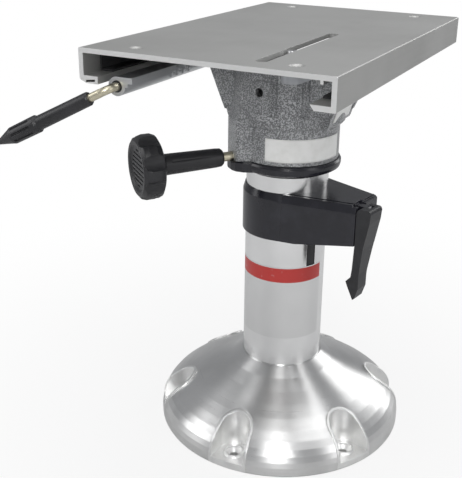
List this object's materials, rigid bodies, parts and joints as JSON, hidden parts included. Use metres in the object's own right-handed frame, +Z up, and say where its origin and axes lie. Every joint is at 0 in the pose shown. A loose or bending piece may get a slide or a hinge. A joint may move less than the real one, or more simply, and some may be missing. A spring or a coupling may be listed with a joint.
{
  "type": "boat seat pedestal",
  "caption": "Height-adjustable boat seat pedestal with a bell base, cam-lever post clamp, braked swivel head and a locking fore-and-aft slide under a flat seat plate.",
  "frame": {"origin": "centre of the base underside, on the post axis", "axes": "+Z up along the post, +Y along the seat slide away from the lock lever's end, +X across the seat plate towards the clamp lever"},
  "size_m": [0.282, 0.35, 0.366],
  "materials": {
    "turned_aluminium": "turned and buffed",
    "post_aluminium": "polished tube",
    "plate_aluminium": "bead blasted, cut ends bare",
    "rail_aluminium": "mill finish extrusion",
    "hammertone_paint": "hammertone grey enamel on cast aluminium",
    "black_gloss": "moulded, glossy",
    "black_satin": "moulded, satin",
    "liner_black": "low friction plastic",
    "natural_plastic": "natural bearing plastic",
    "zinc_steel": "bright zinc",
    "bright_steel": "bright drawn bar",
    "spring_steel": "oiled",
    "brake_bronze": "sintered"
  },
  "bodies": {
    "pedestal": {"base_bell": "turned_aluminium", "base_socket": "turned_aluminium", "base_ribs": "turned_aluminium", "base_pockets": "turned_aluminium", "post_tube": "post_aluminium", "guide_bushing": "black_satin", "clamp_collar": "black_gloss", "clamp_bolt": "zinc_steel", "clamp_nut": "zinc_steel", "clamp_washer": "zinc_steel", "lever_pin": "bright_steel"},
    "clamp_handle": {"cam_lever": "black_satin"},
    "column": {"inner_tube": "post_aluminium", "guide_ring": "natural_plastic", "guide_clip": "spring_steel", "spindle_plug": "turned_aluminium", "spindle_washer": "zinc_steel", "spindle_bolt": "zinc_steel"},
    "head": {"swivel_casting": "hammertone_paint", "thrust_ring": "black_gloss", "swivel_bushing": "natural_plastic", "rail_right": "rail_aluminium", "rail_left": "rail_aluminium", "lock_rail": "rail_aluminium", "rail_screws": "zinc_steel", "stop_arm": "zinc_steel", "arm_screws": "zinc_steel", "stop_pin": "bright_steel", "rod_bushings": "black_satin", "return_spring": "spring_steel"},
    "brake": {"brake_shoe": "brake_bronze"},
    "knob": {"knob_rod": "bright_steel", "knob_sleeve": "black_satin", "knob_head": "black_satin"},
    "lock": {"lock_rod": "bright_steel", "rod_clip": "spring_steel", "lever_grip": "black_satin", "lock_cam": "zinc_steel", "cam_pin": "bright_steel"},
    "slide": {"seat_plate": "plate_aluminium", "slide_liner_right": "liner_black", "slide_liner_left": "liner_black"}
  },
  "joints": [
    {"name": "clamp_release", "type": "hinge", "parent": "pedestal", "child": "clamp_handle", "pos_m": [0.08499, -0.01499, 0.2278], "axis": [-0.1736, -0.9848, 0], "range_deg": [0, 90]},
    {"name": "height", "type": "slide", "parent": "pedestal", "child": "column", "axis": [0, 0, 1], "range_m": [0, 0.104]},
    {"name": "swivel", "type": "hinge", "parent": "column", "child": "head", "pos_m": [0, 0, 0.26], "axis": [0, 0, 1], "continuous": true},
    {"name": "brake_travel", "type": "slide", "parent": "head", "child": "brake", "axis": [-0.6426, -0.7659, -0.0209], "range_m": [0, 0.0025]},
    {"name": "brake_turn", "type": "hinge", "parent": "brake", "child": "knob", "pos_m": [0, 0, 0.2636], "axis": [-0.6426, -0.7659, -0.0209], "range_deg": [0, 720]},
    {"name": "slide_lock", "type": "hinge", "parent": "head", "child": "lock", "pos_m": [-0.074, 0, 0.3385], "axis": [0, -1, 0], "range_deg": [0, 28], "stiffness_Nm_per_rad": 0.12, "springref_deg": -17.19},
    {"name": "seat_slide", "type": "slide", "parent": "head", "child": "slide", "axis": [0, 1, 0], "range_m": [-0.083, 0.052]}
  ],
  "couplings": [
    {"joint": "brake_turn", "follows": "brake_travel", "rad_per_m": 5026.5}
  ]
}
